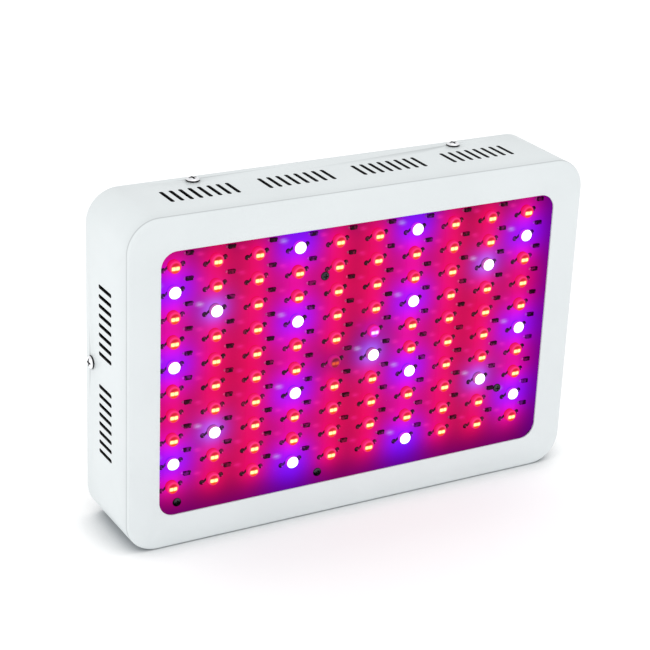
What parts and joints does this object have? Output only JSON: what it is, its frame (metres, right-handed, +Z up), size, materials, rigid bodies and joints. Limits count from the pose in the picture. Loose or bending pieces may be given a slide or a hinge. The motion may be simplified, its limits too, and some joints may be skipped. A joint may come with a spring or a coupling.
{
  "type": "led grow light",
  "caption": "Flat rectangular LED plant light: white vented metal case, window over a grid of domed LEDs, rear cooling fans, mains inlet with rocker switch, and hanging rings.",
  "frame": {"origin": "centre of the base, which is the lower long side that the light stands on", "axes": "+X to the right of a viewer who faces the LEDs, +Y from the LED face to the back, +Z up"},
  "size_m": [0.3142, 0.0662, 0.2121],
  "materials": {
    "white_coat": "fine white powder coat, semi-matt",
    "board": "aluminium core under glossy white solder mask",
    "led": "clear domed lenses on white bodies, lit red, blue and white",
    "heat_sink": "plain extruded",
    "fan_plastic": "satin black moulding",
    "guard_wire": "bright plated wire",
    "bright_screw": "bright nickel plate",
    "black_screw": "black oxide",
    "zinc": "zinc plate",
    "driver_case": "dark grey moulding",
    "black_plastic": "satin black moulding",
    "contact": "nickel plated",
    "red_lead": "smooth insulation",
    "black_lead": "smooth insulation"
  },
  "bodies": {
    "panel": {"black_led_lead_1": "black_lead", "black_led_lead_2": "black_lead", "board_screw_1": "black_screw", "board_screw_2": "black_screw", "board_screw_3": "black_screw", "board_screw_4": "black_screw", "case_screw_1": "bright_screw", "case_screw_2": "bright_screw", "case_screw_3": "bright_screw", "case_screw_4": "bright_screw", "case_screw_5": "bright_screw", "case_screw_6": "bright_screw", "driver_lead_1": "black_lead", "driver_lead_2": "black_lead", "fan_frame_1": "fan_plastic", "fan_frame_2": "fan_plastic", "fan_guard_1": "guard_wire", "fan_guard_2": "guard_wire", "fan_lead_1": "black_lead", "fan_lead_2": "black_lead", "fan_screw_1": "bright_screw", "fan_screw_2": "bright_screw", "fan_screw_3": "bright_screw", "fan_screw_4": "bright_screw", "fan_screw_5": "bright_screw", "fan_screw_6": "bright_screw", "fan_screw_7": "bright_screw", "fan_screw_8": "bright_screw", "front_housing": "white_coat", "hanger_strap_1": "zinc", "hanger_strap_2": "zinc", "hanger_strap_3": "zinc", "hanger_strap_4": "zinc", "heat_sink": "heat_sink", "heat_sink_screw_1": "zinc", "heat_sink_screw_2": "zinc", "heat_sink_screw_3": "zinc", "heat_sink_screw_4": "zinc", "inlet_pin_1": "contact", "inlet_pin_2": "contact", "inlet_pin_3": "contact", "led_board": "board", "led_driver_1": "driver_case", "led_driver_2": "driver_case", "led_string_1": "led", "led_string_2": "led", "mains_lead": "black_lead", "power_inlet": "black_plastic", "rear_cover": "white_coat", "red_led_lead_1": "red_lead", "red_led_lead_2": "red_lead", "switch_housing": "black_plastic"},
    "fan_1": {"fan_rotor_1": "fan_plastic"},
    "fan_2": {"fan_rotor_2": "fan_plastic"},
    "ring_1": {"hanger_ring_1": "guard_wire"},
    "ring_2": {"hanger_ring_2": "guard_wire"},
    "ring_3": {"hanger_ring_3": "guard_wire"},
    "ring_4": {"hanger_ring_4": "guard_wire"},
    "rocker": {"switch_rocker": "black_plastic"}
  },
  "joints": [
    {"name": "fan_1_spin", "type": "hinge", "parent": "panel", "child": "fan_1", "pos_m": [-0.075, 0.0129, 0.105], "axis": [0, 1, 0], "continuous": true},
    {"name": "fan_2_spin", "type": "hinge", "parent": "panel", "child": "fan_2", "pos_m": [0.075, 0.0129, 0.105], "axis": [0, 1, 0], "continuous": true},
    {"name": "power_rocker", "type": "hinge", "parent": "panel", "child": "rocker", "pos_m": [0, 0.02745, 0.127], "axis": [1, 0, 0], "range_deg": [-20, 0]},
    {"name": "ring_1_swing", "type": "hinge", "parent": "panel", "child": "ring_1", "pos_m": [-0.128, 0.0301, 0.034], "axis": [1, 0, 0], "range_deg": [-4, 184]},
    {"name": "ring_2_swing", "type": "hinge", "parent": "panel", "child": "ring_2", "pos_m": [0.128, 0.0301, 0.034], "axis": [1, 0, 0], "range_deg": [-4, 184]},
    {"name": "ring_3_swing", "type": "hinge", "parent": "panel", "child": "ring_3", "pos_m": [-0.128, 0.0301, 0.186], "axis": [1, 0, 0], "range_deg": [-4, 184]},
    {"name": "ring_4_swing", "type": "hinge", "parent": "panel", "child": "ring_4", "pos_m": [0.128, 0.0301, 0.186], "axis": [1, 0, 0], "range_deg": [-4, 184]}
  ]
}
